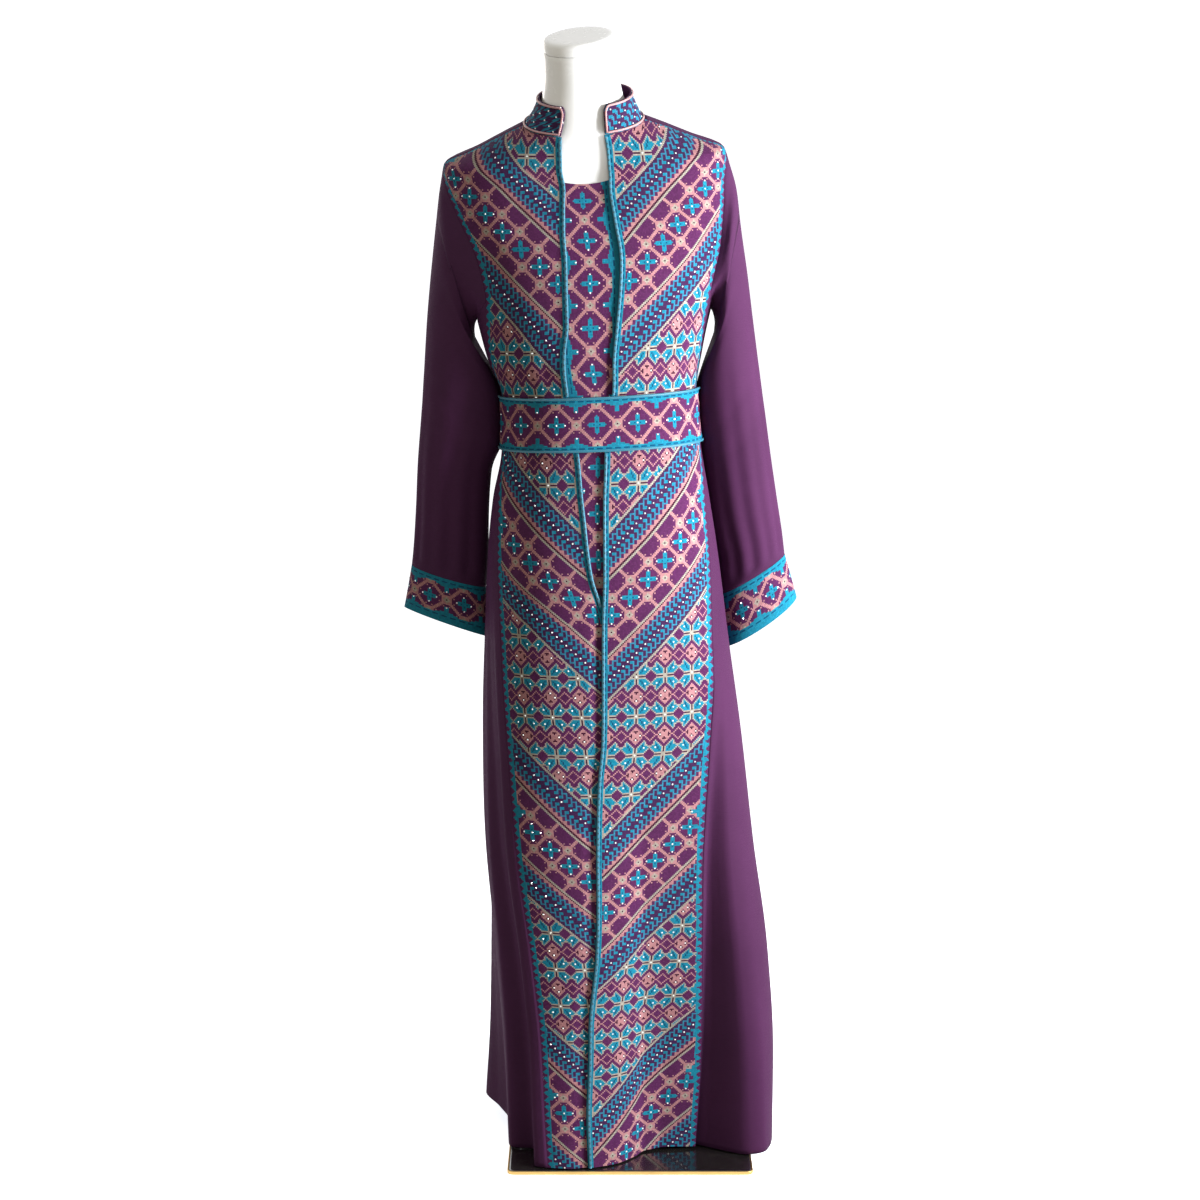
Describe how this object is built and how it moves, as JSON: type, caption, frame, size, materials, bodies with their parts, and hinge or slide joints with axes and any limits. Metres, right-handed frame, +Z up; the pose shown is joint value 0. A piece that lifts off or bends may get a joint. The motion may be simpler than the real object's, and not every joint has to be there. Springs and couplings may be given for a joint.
{
  "type": "embroidered abaya on a limbless dress form",
  "caption": "Long open-fronted purple abaya with cross-stitched front panels, cuffs, collar and belt, standing on a white dress form with a flat black base.",
  "frame": {"origin": "centre of the base plate's underside", "axes": "+Z up, -Y to the front of the garment, +X to the viewer's right as seen from the front"},
  "size_m": [0.571, 0.3519, 1.5987],
  "materials": {
    "purple_cloth": "matt plain weave, deep plum purple",
    "embroidered_cloth": "cross-stitched in teal, blue, salmon pink and cream thread, with small crystals",
    "teal_cord": "twisted satin cord",
    "pink_piping": "satin piping, salmon pink",
    "form_white": "gloss, warm white",
    "base_black": "near-black gloss",
    "base_brass": "satin brushed edge"
  },
  "bodies": {
    "root": {"base_plate": "base_black", "base_rim": "base_brass", "pole": "form_white", "form_torso": "form_white", "form_cap": "form_white", "front_right": "embroidered_cloth", "front_left": "embroidered_cloth", "inner_front": "embroidered_cloth", "back": "purple_cloth", "side_right": "purple_cloth", "side_left": "purple_cloth", "sleeve_right": "purple_cloth", "sleeve_left": "purple_cloth", "cuff_right": "embroidered_cloth", "cuff_left": "embroidered_cloth", "collar": "embroidered_cloth", "collar_piping": "pink_piping", "belt": "embroidered_cloth", "belt_piping_top": "teal_cord", "belt_piping_bottom": "teal_cord", "front_cord_right_top": "teal_cord", "front_cord_left_top": "teal_cord", "front_cord_right_low": "teal_cord", "front_cord_left_low": "teal_cord"}
  },
  "joints": []
}
